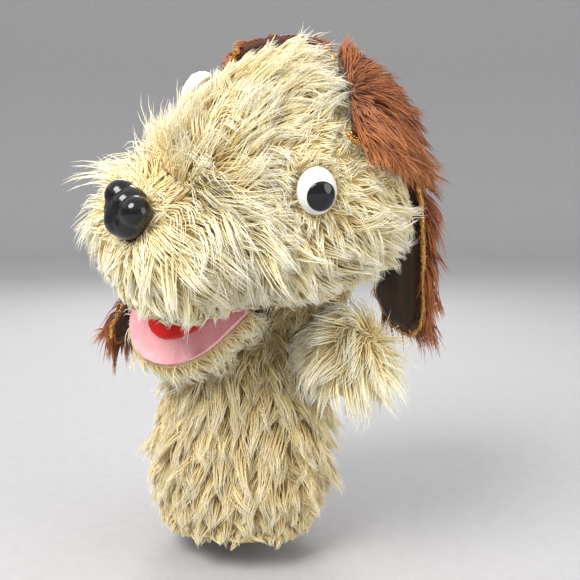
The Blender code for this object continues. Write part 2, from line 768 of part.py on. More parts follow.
def on_skull(p, outwards, lift):
    """The point p of an ear's inner face, kept clear of the skull and lifted. Where the cloth lies on the
    skull it is lifted away from the ball, and where it hangs, along its own normal."""
    floor = SKULL_RADIUS + EAR_CLEAR
    lying = max(0.0, min(1.0, (p.z + EAR_DROP) / EAR_BLEND))
    seat = p
    if p.length < floor:
        seat = p.normalized() * floor
    if p.z < 0 and math.hypot(p.x, p.y) < floor:
        seat = Vector((p.x, p.y, 0)).normalized() * floor + Vector((0, 0, p.z))
    from_ball = p - Vector((p.x, p.y, min(p.z, 0.0) * (1 - lying)))
    way = outwards.lerp(from_ball.normalized(), lying) if lying > 0 else outwards
    return seat + way.normalized() * lift


def ear_grid(front, rear, tip, lift, columns=6):
    """Rows of points across the ear, from its seam to its tip, lifted off its inner face."""
    lines = [smooth_route([Vector(p) for p in (*edge, tip)], 2)[:-1] for edge in (front, rear)]
    rows = [[a.lerp(b, c / (columns - 1)) for c in range(columns)] for a, b in zip(*lines)]
    normals = grid_normals(rows)
    return [[on_skull(p, n, lift) for p, n in zip(row, ways)] for row, ways in zip(rows, normals)]


def grid_normals(rows):
    """Unit normals of a grid that point away from the skull's upright axis."""
    normals = []
    for r, row in enumerate(rows):
        line = []
        for c, p in enumerate(row):
            down = rows[min(r + 1, len(rows) - 1)][c] - rows[max(r - 1, 0)][c]
            over = row[min(c + 1, len(row) - 1)] - row[max(c - 1, 0)]
            n = down.cross(over).normalized()
            line.append(n if n.dot(p) > 0 else -n)
        normals.append(line)
    return normals


def make_ear(surfaces, name, front, rear, tip, skull_centre, pivot):
    """Lining against the skull, fur outside, and a corded edge. The pieces hang on an empty on the seam."""
    shift = skull_centre - pivot.location

    def grid(lift):
        return [[p + shift for p in row] for row in ear_grid(front, rear, tip, lift)]

    lining = slab(f"{name}_lining", grid(EAR_LINING), grid(0.0))
    add_object(f"{name}_lining", lining, surfaces["ear_lining"], pivot)
    fur = slab(f"{name}_fur", grid(EAR_THICK), grid(EAR_LINING + GAP))
    add_object(f"{name}_fur", fur, surfaces["brown_fur"], pivot)
    route = edging_route(grid(EAR_LINING + EDGING_RADIUS))
    edging = cord_mesh(f"{name}_edging", route, EDGING_RADIUS)
    add_object(f"{name}_edging", edging, surfaces["gold_thread"], pivot)


def edging_route(rows):
    """Down the front edge, round the tip and up the rear edge, clear of the cloth's cut edge."""
    edge = [(row[0], row[0] - row[1]) for row in rows]
    edge += [(rows[-1][c], rows[-1][c] - rows[-2][c]) for c in range(1, len(rows[0]) - 1)]
    edge += [(row[-1], row[-1] - row[-2]) for row in reversed(rows)]
    route = []
    for i, (p, away) in enumerate(edge):
        along = (edge[min(i + 1, len(edge) - 1)][0] - edge[max(i - 1, 0)][0]).normalized()
        corner = len(rows) - 1 in (i, i - len(rows[0]) + 1)
        if corner:
            away = away.normalized() + (rows[-1][2] - rows[-2][2]).normalized()
        away = (away - along * away.dot(along)).normalized()
        route.append(p + away * (EDGING_RADIUS + EDGING_GAP))
    return route


def cord_mesh(name, route, radius, count=6):
    rings = []
    for i, p in enumerate(route):
        along = (route[min(i + 1, len(route) - 1)] - route[max(i - 1, 0)]).normalized()
        side = along.cross(Vector((0.3, 0.2, 0.93))).normalized()
        rings.append(ellipse(p, side, along.cross(side), radius, radius, count))
    return loft(name, rings)


# Arms


def arm_rings(way, profile, count=20):
    side = way.cross(Vector((0, 0, 1))).normalized()
    up = way.cross(side)
    return [ellipse(way * along, side, up, radius, radius, count) for along, radius in profile]


def make_arm(surfaces, name, pivot, way):
    outer = arm_rings(way, ARM_RINGS)
    thin = [(along, radius - ARM_WALL) for along, radius in ARM_RINGS[:-1]]
    inner = arm_rings(way, thin)
    add_object(f"{name}_fur", cup_wall(f"{name}_fur", outer, inner), surfaces["cream_fur"], pivot)
    core = [(along, radius - GAP) for along, radius in thin]
    core[0] = (core[0][0] + GAP, core[0][1])
    core[-1] = (core[-1][0] - GAP, core[-1][1])
    stuffing = loft(f"{name}_stuffing", arm_rings(way, core))
    add_object(f"{name}_stuffing", stuffing, surfaces["stuffing"], pivot)


def main():
    clear_scene()
    surfaces = make_materials()
    head_turn = Euler([math.radians(a) for a in (HEAD_NOD, HEAD_TILT, HEAD_TURN)]).to_matrix()
    make_sleeve(surfaces)
    make_neck(surfaces, head_turn)

    head = empty("head_frame", NECK, (HEAD_NOD, HEAD_TILT, HEAD_TURN))
    tools = head_helpers(head)
    make_skull(surfaces, head, tools)
    make_muzzle(surfaces, head, tools)
    make_padding(surfaces, head, tools)
    make_palate(surfaces, head)
    for side, name in ((1, "left"), (-1, "right")):
        make_eye(surfaces, head, side, name)
    make_nose(surfaces, head)
    jaw = empty("jaw_pivot", JAW_HINGE, (JAW_OPEN, 0.0, 0.0), head)
    make_jaw(surfaces, jaw)

    skull_centre = NECK + head_turn @ SKULL_CENTRE
    ears = (
        ("ear_left", EAR_LEFT_FRONT, EAR_LEFT_REAR, EAR_LEFT_TIP),
        ("ear_right", EAR_RIGHT_FRONT, EAR_RIGHT_REAR, EAR_RIGHT_TIP),
    )
    for name, front, rear, tip in ears:
        seam = (Vector(front[0]) + Vector(rear[0])).normalized() * (SKULL_RADIUS + EAR_CLEAR)
        pivot = empty(f"{name}_pivot", skull_centre + seam)
        make_ear(surfaces, name, front, rear, tip, skull_centre, pivot)

    make_arm(surfaces, "arm_left", empty("arm_left_pivot", ARM_LEFT_PIVOT), ARM_LEFT_WAY)
    make_arm(surfaces, "arm_right", empty("arm_right_pivot", ARM_RIGHT_PIVOT), ARM_RIGHT_WAY)


main()
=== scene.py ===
# %% [markdown]
# # A shaggy dog glove puppet
# The puppet is a sleeve of long-pile fur cloth with a stuffed head, a jaw that opens, two hanging ears and
# two stub arms. The solid model that this script loads holds the real sizes and the joints. Everything made
# here is what the eye sees: the pile, the felt mouth, the moulded eyes and nose, and the sewn edges.
# All lengths are in metres, +Z is up, the puppet's front faces -Y and its left side is +X.

# %% Load the solid model
import json
import math

import bmesh
import bpy
import numpy as np
from mathutils import Matrix, Vector
from mathutils.bvhtree import BVHTree


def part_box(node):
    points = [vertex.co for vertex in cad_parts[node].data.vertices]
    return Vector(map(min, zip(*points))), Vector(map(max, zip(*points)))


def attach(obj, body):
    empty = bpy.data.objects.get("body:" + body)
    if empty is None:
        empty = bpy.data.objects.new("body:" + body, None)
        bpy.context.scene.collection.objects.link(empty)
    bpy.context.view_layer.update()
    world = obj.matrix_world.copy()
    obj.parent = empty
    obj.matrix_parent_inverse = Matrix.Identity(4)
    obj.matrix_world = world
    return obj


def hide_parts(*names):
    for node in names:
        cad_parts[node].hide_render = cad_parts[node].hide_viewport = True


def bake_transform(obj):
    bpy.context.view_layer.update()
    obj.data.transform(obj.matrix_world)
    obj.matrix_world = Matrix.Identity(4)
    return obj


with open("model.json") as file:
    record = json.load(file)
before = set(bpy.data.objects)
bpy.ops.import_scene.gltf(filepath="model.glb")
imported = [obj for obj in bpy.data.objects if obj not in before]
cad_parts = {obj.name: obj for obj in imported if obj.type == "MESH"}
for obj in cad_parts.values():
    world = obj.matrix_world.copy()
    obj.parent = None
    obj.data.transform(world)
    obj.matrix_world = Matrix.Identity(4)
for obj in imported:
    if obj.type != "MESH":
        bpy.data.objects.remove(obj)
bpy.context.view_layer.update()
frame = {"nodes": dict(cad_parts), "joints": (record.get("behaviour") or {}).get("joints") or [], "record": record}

joints = {joint["name"]: joint for joint in frame["joints"]}
owner = {node: body for body, nodes in frame["record"]["behaviour"]["bodies"].items() for node in nodes}

# %% [markdown]
# ## The head's own axes
# The head is held turned, tilted and nodding, so most of its details are easier to place in its own axes: x
# to its left, y to its back and z up from the wrist's pivot. The jaw's hinge runs across the head, and the
# palate is flat, so the three axes can be read from the model instead of being typed in.


# %% Head axes
def flat_normal(node):
    """The normal of a flat plate: the average of its upward faces, by area."""
    mesh = frame["nodes"][node].data
    total = Vector((0, 0, 0))
    for face in mesh.polygons:
        if face.normal.z > 0.5:
            total += face.normal * face.area
    return total.normalized()


head_left = Vector(joints["head_nod"]["axis"]).normalized()
head_up = flat_normal("palate_felt")
head_back = head_up.cross(head_left).normalized()
head_turn = Matrix((head_left, head_back, head_up)).transposed()
pivot = Vector(joints["head_turn"]["pos_m"])
SKULL_IN_HEAD = Vector((0, 0.0075, 0.069))
UP = Vector((0, 0, 1))


def in_head(x, y, z):
    """A point given in the head's axes, as a place in the scene."""
    return pivot + head_turn @ Vector((x, y, z))


skull = in_head(*SKULL_IN_HEAD)
eyes = {side: sum(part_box(f"eye_white_{side}"), Vector()) / 2 for side in ("left", "right")}
nose = sum(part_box("nose"), Vector()) / 2
print("skull centre", [round(c * 1000, 1) for c in skull], "mm")

# %% [markdown]
# ## Camera and light
# The camera looks slightly down on the puppet from its front left, as a person across a table would. A big
# soft key light from above the left, a weak fill and a pale world give soft shadows between the locks.


# %% Camera
def upright_turn(back):
    """A turn whose z is the given way and whose y is as near to up as it can be."""
    right = UP.cross(back).normalized()
    return Matrix((right, back.cross(right), back)).transposed().to_4x4()


def look_at(obj, place, target):
    obj.matrix_world = Matrix.Translation(place) @ upright_turn((place - target).normalized())


def link(made):
    bpy.context.scene.collection.objects.link(made)
    return made


camera_back = Vector((0.596, -0.791, 0.139)).normalized()
camera_place = Vector((0.2548, -0.2940, 0.1682))
camera = link(bpy.data.objects.new("camera", bpy.data.cameras.new("camera")))
look_at(camera, camera_place, camera_place - camera_back)
camera.data.sensor_width = 36
camera.data.lens = 49.65
camera.data.clip_start = 0.01
bpy.context.scene.camera = camera


# %% Lights and floor
def soft_light(name, place, target, size, power, colour=(1, 1, 1)):
    data = bpy.data.lights.new(name, "AREA")
    data.shape = "DISK"
    data.size = size
    data.energy = power
    data.color = colour
    look_at(link(bpy.data.objects.new(name, data)), Vector(place), target)


middle = Vector((0.02, -0.01, 0.13))
soft_light("key_light", (0.05, -0.75, 0.85), middle, 0.55, 13.0, (1.0, 0.98, 0.94))
soft_light("fill_light", (0.95, 0.15, 0.35), middle, 0.7, 4.5, (1.0, 0.98, 0.95))
soft_light("rim_light", (-0.55, 0.6, 0.6), middle, 0.5, 4.0)

world = bpy.data.worlds.new("studio")
bpy.context.scene.world = world
world.use_nodes = True
sky = world.node_tree.nodes["Background"].inputs
sky["Color"].default_value = (0.84, 0.83, 0.84, 1)
sky["Strength"].default_value = 0.95
bpy.context.scene.view_settings.view_transform = "Standard"
bpy.context.scene.view_settings.look = "None"

FLOOR_LEVEL = -0.0165


# %% Node helpers
def lay_out(tree):
    """Spreads a tree's nodes in columns, in the order that they were added."""
    for number, node in enumerate(tree.nodes):
        node.location = (220 * (number // 6), -190 * (number % 6))


def add_node(tree, kind, inputs=None, **settings):
    """A node with its settings, and its inputs by name or number: a socket is linked, a value is set."""
    node = tree.nodes.new(kind)
    for name, value in settings.items():
        setattr(node, name, value)
    for key, value in (inputs or {}).items():
        if isinstance(value, bpy.types.NodeSocket):
            tree.links.new(value, node.inputs[key])
        else:
            node.inputs[key].default_value = value
    return node


class Fields:
    """Short names for the sums that geometry nodes do on vectors and numbers."""

    def __init__(self, tree):
        self.tree = tree

    def made(self, kind, inputs=None, **settings):
        """The first output of a new node."""
        return add_node(self.tree, kind, inputs, **settings).outputs[0]

    def number(self, operation, *values):
        return self.made("ShaderNodeMath", dict(enumerate(values)), operation=operation)

    def product(self, first, second):
        return self.number("MULTIPLY", first, second)

    def vector(self, operation, *values):
        return self.made("ShaderNodeVectorMath", dict(enumerate(values)), operation=operation)

    def scaled(self, vector, factor):
        return self.made("ShaderNodeVectorMath", {0: vector, "Scale": factor}, operation="SCALE")

    def total(self, first, *others):
        for other in others:
            first = self.vector("ADD", first, other)
        return first

    def random_vector(self, low, high, number, seed):
        inputs = {0: (low,) * 3, 1: (high,) * 3, 7: number, 8: seed}
        return self.made("FunctionNodeRandomValue", inputs, data_type="FLOAT_VECTOR")

    def random_number(self, low, high, number, seed):
        inputs = {2: low, 3: high, 7: number, 8: seed}
        return add_node(self.tree, "FunctionNodeRandomValue", inputs, data_type="FLOAT").outputs[1]

    def read(self, name, kind="FLOAT_VECTOR"):
        return self.made("GeometryNodeInputNamedAttribute", {"Name": name}, data_type=kind)

    def store(self, geometry, name, value, kind="FLOAT_VECTOR", domain="POINT"):
        inputs = {"Geometry": geometry, "Name": name, "Value": value}
        return self.made("GeometryNodeStoreNamedAttribute", inputs, data_type=kind, domain=domain)


def new_tree(name, sockets):
    """An empty geometry nodes tree with a geometry in and out, and named inputs with their values."""
    kinds = {float: "NodeSocketFloat", int: "NodeSocketInt", type(None): "NodeSocketMaterial"}
    tree = bpy.data.node_groups.new(name, "GeometryNodeTree")
    tree.is_modifier = True
    for way in ("OUTPUT", "INPUT"):
        tree.interface.new_socket("Geometry", in_out=way, socket_type="NodeSocketGeometry")
    for label, value in sockets:
        socket = tree.interface.new_socket(label, in_out="INPUT", socket_type=kinds[type(value)])
        if value is not None:
            socket.default_value = value
    return tree


# %% [markdown]
# ## The pile
# Long-pile fur cloth is thousands of fibres knitted into a backing. They stick together in pointed locks,
# lie along the nap and stand off the cloth. Particle hair would be quick to comb, but it can't be exported as
# a solid. Here a Geometry Nodes tree scatters lock centres and hair roots over the cloth, and grows a thin
# tapered strand at each root. Each strand sets off between the nap and straight up, bends over until it lies
# the way its lock lies, and leans towards the middle of its lock, which makes the tufts.
# The cloth carries two attributes: "nap", the way that the hair lies, and "pile", a share of full length.

# %% The pile's tree
SCATTER = "GeometryNodeDistributePointsOnFaces"
PILE_SOCKETS = (
    ("Hairs per Area", 900000.0),
    ("Locks per Area", 90000.0),
    ("Length", 0.024),
    ("Thickness", 0.0006),
    ("Lift", 1.0),
    ("Bend", 0.5),
    ("Weight", 0.3),
    ("Gather", 0.75),
    ("Mess", 0.5),
    ("Wave", 0.0012),
    ("Curl", 0.5),
    ("Points", 5),
    ("Seed", 1),
    ("Fibre", None),
)


def pile_tree():
    tree = new_tree("long_pile", PILE_SOCKETS)
    field = Fields(tree)
    given = add_node(tree, "NodeGroupInput").outputs
    seed = given["Seed"]

    # Lock centres and hair roots on the cloth
    scatter = {"Mesh": given["Geometry"], "Density": given["Locks per Area"], "Seed": seed}
    locks = field.made(SCATTER, scatter, distribute_method="RANDOM")
    other_seed = field.number("ADD", seed, 57.0)
    scatter = {"Mesh": given["Geometry"], "Density": given["Hairs per Area"], "Seed": other_seed}
    spread = add_node(tree, SCATTER, scatter, distribute_method="RANDOM")
    roots = spread.outputs["Points"]

    # Each root finds its nearest lock
    place = field.made("GeometryNodeInputPosition")
    nearest = field.made("GeometryNodeSampleNearest", {0: locks, 1: place}, domain="POINT")
    sample = {0: locks, 1: place, 2: nearest}
    centre = field.made("GeometryNodeSampleIndex", sample, data_type="FLOAT_VECTOR", domain="POINT")
    roots = field.store(roots, "root", place)
    roots = field.store(roots, "to_lock", field.vector("SUBTRACT", centre, place))

    # The way the hair sets off, and the way it lies in the end, with a lean of its own for each lock and hair
    index = field.made("GeometryNodeInputIndex")
    out, nap = spread.outputs["Normal"], field.read("nap")
    side = field.vector("CROSS_PRODUCT", nap, out)
    lock_lean = field.random_vector(-1.0, 1.0, nearest, 11)
    hair_lean = field.random_vector(-1.0, 1.0, index, 12)
    lean = field.scaled(field.total(lock_lean, field.scaled(hair_lean, 0.16)), given["Mess"])
    way = field.vector("NORMALIZE", field.total(nap, field.scaled(out, given["Lift"]), lean))
    roots = field.store(roots, "way", way)
    swing = field.product(field.random_number(-1.0, 1.0, nearest, 18), given["Curl"])
    lie = field.total(nap, lean, field.scaled(side, swing), field.scaled((0.0, 0.0, -1.0), given["Weight"]))
    roots = field.store(roots, "lie", field.vector("NORMALIZE", field.total(lie, field.scaled(out, -0.15))))
    bend = field.product(field.random_number(0.55, 1.35, nearest, 19), given["Bend"])
    roots = field.store(roots, "bend", bend, "FLOAT")
    roots = field.store(roots, "side", side)
    lock_length = field.random_number(0.72, 1.12, nearest, 13)
    hair_length = field.random_number(0.80, 1.08, index, 14)
    share = field.product(lock_length, hair_length)
    share = field.product(share, field.read("pile", "FLOAT"))
    roots = field.store(roots, "reach", field.product(share, given["Length"]), "FLOAT")
    roots = field.store(roots, "phase", field.random_number(0.0, 6.28, nearest, 15), "FLOAT")
    lock_tone = field.random_number(0.0, 0.55, nearest, 16)
    hair_tone = field.random_number(0.0, 0.45, index, 17)
    roots = field.store(roots, "tone", field.number("ADD", lock_tone, hair_tone), "FLOAT")

    # One short line at each root, then bent
    line = field.made("GeometryNodeCurvePrimitiveLine", {"Start": (0, 0, 0), "End": (0, 0, 1)})
    line = field.made("GeometryNodeResampleCurve", {"Curve": line, "Count": given["Points"]})
    planted = field.made("GeometryNodeInstanceOnPoints", {"Points": roots, "Instance": line})
    hairs = field.made("GeometryNodeRealizeInstances", {0: planted})
    along = add_node(tree, "GeometryNodeSplineParameter").outputs["Factor"]
    hairs = field.store(hairs, "along", along, "FLOAT")
    along = field.read("along", "FLOAT")
    along2 = field.product(along, along)
    reach = field.read("reach", "FLOAT")
    bent_share = field.product(along2, field.read("bend", "FLOAT"))
    straight_share = field.number("SUBTRACT", along, bent_share)
    straight = field.scaled(field.read("way"), field.product(reach, straight_share))
    lying = field.scaled(field.read("lie"), field.product(reach, bent_share))
    gather = field.product(field.number("POWER", along, 1.1), given["Gather"])
    to_lock = field.scaled(field.read("to_lock"), gather)
    angle = field.number("ADD", field.product(along, 4.6), field.read("phase", "FLOAT"))
    sway = field.product(field.product(field.number("SINE", angle), along), given["Wave"])
    waving = field.scaled(field.read("side"), sway)
    bent = field.total(field.read("root"), straight, lying, to_lock, waving)
    hairs = field.made("GeometryNodeSetPosition", {"Geometry": hairs, "Position": bent})

    # Tapered strands: thick near the root, pointed at the tip
    taper = field.number("SUBTRACT", 1.0, field.product(field.number("POWER", along, 2.2), 0.93))
    radius = field.product(field.product(given["Thickness"], 0.5), taper)
    ring = field.made("GeometryNodeCurvePrimitiveCircle", {"Resolution": 3, "Radius": 1.0})
    sweep = {"Curve": hairs, "Profile Curve": ring, "Scale": radius, "Fill Caps": True}
    strands = field.made("GeometryNodeCurveToMesh", sweep)
    chart = field.made("ShaderNodeCombineXYZ", {0: field.read("tone", "FLOAT"), 1: along})
    strands = field.store(strands, "OFBake", chart, "FLOAT2", "CORNER")
    solid = field.made("GeometryNodeRealizeInstances", {0: strands})
    done = field.made("GeometryNodeSetMaterial", {"Geometry": solid, "Material": given["Fibre"]})
    add_node(tree, "NodeGroupOutput", {0: done})
    lay_out(tree)
    return tree


long_pile = pile_tree()
print("pile tree:", len(long_pile.nodes), "nodes")

# %% [markdown]
# ## Finishes
# Each finish is a small node material. The pile's colour runs from a warm, slightly dirty root to a pale tip,
# and each lock has its own tone. Both come from the strand's own chart: across it is the lock's tone, and up
# it is the way along the strand. So one colour ramp paints every hair.


# %% Material helper
def new_finish(name, **sockets):
    """A Principled material: sockets that are the same all over are set, not linked."""
    finish = bpy.data.materials.new(name)
    finish.use_nodes = True
    shader = finish.node_tree.nodes["Principled BSDF"]
    for label, value in sockets.items():
        shader.inputs[label.replace("_", " ")].default_value = value
    return finish, finish.node_tree, shader


def ramp(tree, factor, stops):
    node = add_node(tree, "ShaderNodeValToRGB", {"Fac": factor})
    stop_list = node.color_ramp.elements
    while len(stop_list) < len(stops):
        stop_list.new(0.5)
    for stop, (place, colour) in zip(stop_list, stops):
        stop.position = place
        stop.color = (*colour, 1)
    return node.outputs["Color"]


def mixed(tree, factor, first, second, way="MIX"):
    node = add_node(tree, "ShaderNodeMix", {0: factor, 6: first, 7: second}, data_type="RGBA", blend_type=way)
    return node.outputs[2]


def bump(tree, shader, height, distance, strength=1.0):
    inputs = {"Height": height, "Distance": distance, "Strength": strength}
    tree.links.new(add_node(tree, "ShaderNodeBump", inputs).outputs[0], shader.inputs["Normal"])


# %% Fibre finishes
def fibre_finish(name, root_to_tip, dark, sheen, roughness=0.55):
    """Pile: a ramp along the strand, and a tone that darkens some of the locks."""
    finish, tree, shader = new_finish(name, Roughness=roughness, Sheen_Weight=sheen, Sheen_Roughness=0.4)
    chart = add_node(tree, "ShaderNodeUVMap", uv_map="OFBake").outputs[0]
    split = add_node(tree, "ShaderNodeSeparateXYZ", {0: chart})
    length_tone = ramp(tree, split.outputs["Y"], root_to_tip)
    lock_tone = ramp(tree, split.outputs["X"], ((0.0, dark), (0.45, (1, 1, 1)), (1.0, (1, 1, 1))))
    colour = mixed(tree, 1.0, length_tone, lock_tone, "MULTIPLY")
    tree.links.new(colour, shader.inputs["Base Color"])
    return finish


cream_fibre = fibre_finish(
    "cream_fibre",
    (
        (0.0, (0.86, 0.64, 0.27)),
        (0.25, (0.98, 0.83, 0.45)),
        (0.6, (1.0, 0.94, 0.67)),
        (1.0, (1.0, 0.99, 0.91)),
    ),
    (0.94, 0.88, 0.74),
    sheen=0.25,
)
body_fibre = fibre_finish(
    "body_fibre",
    (
        (0.0, (0.58, 0.40, 0.14)),
        (0.3, (0.82, 0.65, 0.30)),
        (0.65, (0.93, 0.81, 0.49)),
        (1.0, (0.98, 0.94, 0.80)),
    ),
    (0.86, 0.80, 0.65),
    sheen=0.25,
)
brown_fibre = fibre_finish(
    "brown_fibre",
    (
        (0.0, (0.10, 0.024, 0.006)),
        (0.3, (0.26, 0.070, 0.015)),
        (0.7, (0.46, 0.145, 0.034)),
        (1.0, (0.62, 0.26, 0.09)),
    ),
    (0.60, 0.54, 0.50),
    sheen=0.1,
    roughness=0.5,
)


# %% [markdown]
# ## Cloth to grow on
# Every fur panel of the solid model becomes a piece of cloth of its own: a copy with its loose triangles
# merged and cut finer. Only its outer side carries hair. A face is on the outer side if it looks away from
# the middle line of the part that it wraps, so each panel needs just a few points of that line.


# %% Cloth copies
def unit(vectors):
    return vectors / np.maximum(np.linalg.norm(vectors, axis=1)[:, None], 1e-6)


def fine_copy(node, longest):
    """A welded copy of a solid, with its long edges halved until none is longer than the limit."""
    shape = bmesh.new()
    shape.from_mesh(frame["nodes"][node].data)
    bmesh.ops.remove_doubles(shape, verts=shape.verts, dist=1e-5)
    for _ in range(4):
        long_edges = [edge for edge in shape.edges if edge.calc_length() > longest]
        if not long_edges:
            break
        bmesh.ops.subdivide_edges(shape, edges=long_edges, cuts=1, use_grid_fill=True)
        bmesh.ops.triangulate(shape, faces=shape.faces[:])
    return shape


def nearest_on_line(points, line):
    """For each point, the nearest place on a line of straight runs."""
    best, best_distance = None, None
    for start, end in zip(line, line[1:]):
        start, run = np.array(start), np.array(end) - np.array(start)
        share = np.clip(((points - start) @ run) / max(run @ run, 1e-12), 0, 1)
        place = start + share[:, None] * run
        distance = np.linalg.norm(points - place, axis=1)
        if best is None:
            best, best_distance = place, distance
        else:
            nearer = distance < best_distance
            best[nearer] = place[nearer]
            best_distance = np.minimum(distance, best_distance)
    return best


def mesh_object(name, shape, *finishes):
    mesh = bpy.data.meshes.new(name)
    shape.to_mesh(mesh)
    shape.free()
    made = link(bpy.data.objects.new(name, mesh))
    for finish in finishes:
        mesh.materials.append(finish)
    mesh.shade_smooth()
    return made


def sink_outside(shape, line, depth):
    """Moves the outer side of a cloth in, so that the pile on it ends about where the solid did."""
    points = np.array([vert.co for vert in shape.verts])
    away = unit(points - nearest_on_line(points, line))
    shape.normal_update()
    moves = []
    for vert, way in zip(shape.verts, away):
        moves.append(-depth * vert.normal * (vert.normal.dot(Vector(way)) > 0.35))
    for vert, move in zip(shape.verts, moves):
        vert.co += move


def outer_side(cloth, line, not_facing=None):
    """A new mesh object of a cloth's outer faces only: the ones that look away from the middle line."""
    shape = bmesh.new()
    shape.from_mesh(cloth.data)
    shape.faces.ensure_lookup_table()
    centres = np.array([face.calc_center_median() for face in shape.faces])
    away = unit(centres - nearest_on_line(centres, line))
    inner = []
    for face, direction in zip(shape.faces, away):
        looks_out = face.normal.dot(Vector(direction)) > 0.25
        if not_facing is not None and face.normal.dot(not_facing) > 0.75:
            looks_out = False
        if not looks_out:
            inner.append(face)
    bmesh.ops.delete(shape, geom=inner, context="FACES")
    return mesh_object(f"{cloth.name}_outer", shape)


# %% Combing
def comb(cloth, nap_at, pile_at):
    """Stores the nap and the pile's share of length on each corner point of a cloth."""
    mesh = cloth.data
    count = len(mesh.vertices)
    points, normals = np.zeros(count * 3), np.zeros(count * 3)
    mesh.vertices.foreach_get("co", points)
    mesh.vertex_normals.foreach_get("vector", normals)
    points, normals = points.reshape(-1, 3), normals.reshape(-1, 3)
    nap = nap_at(points, normals)
    nap = unit(nap - normals * (nap * normals).sum(axis=1)[:, None])
    lies = mesh.attributes.new("nap", "FLOAT_VECTOR", "POINT").data
    lies.foreach_set("vector", nap.astype(np.float32).ravel())
    shares = mesh.attributes.new("pile", "FLOAT", "POINT").data
    shares.foreach_set("value", pile_at(points, normals).astype(np.float32))


def set_inputs(modifier, values):
    """Sets a geometry nodes modifier's inputs by name, through each socket's identifier."""
    for item in modifier.node_group.interface.items_tree:
        if item.in_out == "INPUT" and item.name in values:
            modifier[item.identifier] = values[item.name]


def evaluated_mesh(source):
    """The mesh of an object with its modifiers applied."""
    graph = bpy.context.evaluated_depsgraph_get()
    return bpy.data.meshes.new_from_object(source.evaluated_get(graph))


def realised(name, source, tree, values):
    """Runs a tree on a copy of an object and returns the result as a plain mesh object."""
    grower = source.copy()
    grower.data = source.data.copy()
    grower.parent = None
    grower.hide_viewport = False
    link(grower)
    modifier = grower.modifiers.new(name, "NODES")
    modifier.node_group = tree
    set_inputs(modifier, values)
    mesh = evaluated_mesh(grower)
    bpy.data.objects.remove(grower)
    return link(bpy.data.objects.new(name, mesh))


GROWING = "nap pile root to_lock way lie bend side reach phase tone along".split()


def grow(name, cloth, body, slot, fibre, seed, **sizes):
    """Grows one coat of hair on a combed cloth and turns it into a plain mesh piece that rides a body."""
    values = {key.replace("_", " ").title(): value for key, value in sizes.items()}
    values["Hairs per Area"] = values.pop("Hairs")
    values["Locks per Area"] = values.pop("Locks")
    coat = realised(name, cloth, long_pile, {**values, "Seed": seed, "Fibre": fibre})
    mesh = coat.data
    for label in GROWING:
        if label in mesh.attributes:
            mesh.attributes.remove(mesh.attributes[label])
    mesh.shade_smooth()
    if body is not None:
        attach(coat, body)
    print(name, len(mesh.polygons), "faces", len(mesh.uv_layers), "charts")
    return coat


# %% [markdown]
# ## Woven, knitted and felted cloth
# The backing under the pile is a knit, the pockets and the hem facing are plain cotton, and the mouth is
# felt. A weave is two sets of fine waves at right angles, and felt is noise at two scales. All of them read
# Object coordinates, because the finished pieces sit at the origin with their place in their mesh.


# %% Cloth finishes
def object_place(tree, turn=(0, 0, 0)):
    coordinates = add_node(tree, "ShaderNodeTexCoord").outputs["Object"]
    inputs = {"Vector": coordinates, "Rotation": turn}
    return add_node(tree, "ShaderNodeMapping", inputs).outputs[0]


def noise(tree, place, scale, detail=4.0, roughness=0.6):
    inputs = {"Vector": place, "Scale": scale, "Detail": detail, "Roughness": roughness}
    return add_node(tree, "ShaderNodeTexNoise", inputs).outputs["Fac"]


def woven_finish(name, light, dark, threads, turn=(0.4, 0.2, 0.7)):
    """Plain cotton: two crossing sets of threads, some of them slubbed."""
    finish, tree, shader = new_finish(name, Roughness=0.85, Sheen_Weight=0.25)
    place = object_place(tree, turn)
    waves = []
    for direction in ("X", "Z"):
        inputs = {"Vector": place, "Scale": threads, "Distortion": 0.6, "Detail": 1.0}
        waves.append(add_node(tree, "ShaderNodeTexWave", inputs, bands_direction=direction).outputs["Fac"])
    weave = add_node(tree, "ShaderNodeMath", {0: waves[0], 1: waves[1]}, operation="MULTIPLY").outputs[0]
    slub = noise(tree, place, threads * 0.3)
    colour = mixed(tree, weave, (*dark, 1), (*light, 1))
    colour = mixed(tree, 0.35, colour, ramp(tree, slub, ((0.3, dark), (0.7, light))))
    tree.links.new(colour, shader.inputs["Base Color"])
    bump(tree, shader, weave, 0.0002, 0.7)
    return finish


def felt_finish(name, light, dark, fuzz=0.5):
    """Wool felt: matted fibres, a mottled tone and no weave."""
    finish, tree, shader = new_finish(name, Roughness=0.95, Sheen_Weight=fuzz, Sheen_Roughness=0.35)
    place = object_place(tree)
    fibres = noise(tree, place, 900, 6.0, 0.75)
    cloud = noise(tree, place, 130)
    mottle = add_node(tree, "ShaderNodeMath", {0: fibres, 1: cloud}, operation="MULTIPLY").outputs[0]
    tree.links.new(ramp(tree, mottle, ((0.14, dark), (0.36, light))), shader.inputs["Base Color"])
    bump(tree, shader, fibres, 0.0004, 0.6)
    return finish


backing_knit = woven_finish("backing_knit", (0.74, 0.62, 0.36), (0.45, 0.34, 0.15), 900)
brown_knit = woven_finish("brown_knit", (0.14, 0.045, 0.015), (0.05, 0.014, 0.005), 900)
pocket_cotton = woven_finish("pocket_cotton", (0.82, 0.77, 0.66), (0.60, 0.55, 0.44), 700)
pink_felt = felt_finish("pink_felt", (0.90, 0.50, 0.51), (0.78, 0.33, 0.36))
red_felt = felt_finish("red_felt", (0.80, 0.022, 0.012), (0.56, 0.008, 0.006), 0.25)
# The ear's lining is dark brown velour, painted near-black: painted shade for its inner side, which faces the
# head.
ear_velour = felt_finish("ear_velour", (0.075, 0.026, 0.012), (0.022, 0.008, 0.004), 0.35)
stuffing_fluff = felt_finish("stuffing_fluff", (0.92, 0.91, 0.88), (0.72, 0.71, 0.68), 0.6)
mouth_board = felt_finish("mouth_board", (0.56, 0.45, 0.32), (0.40, 0.31, 0.21), 0.0)

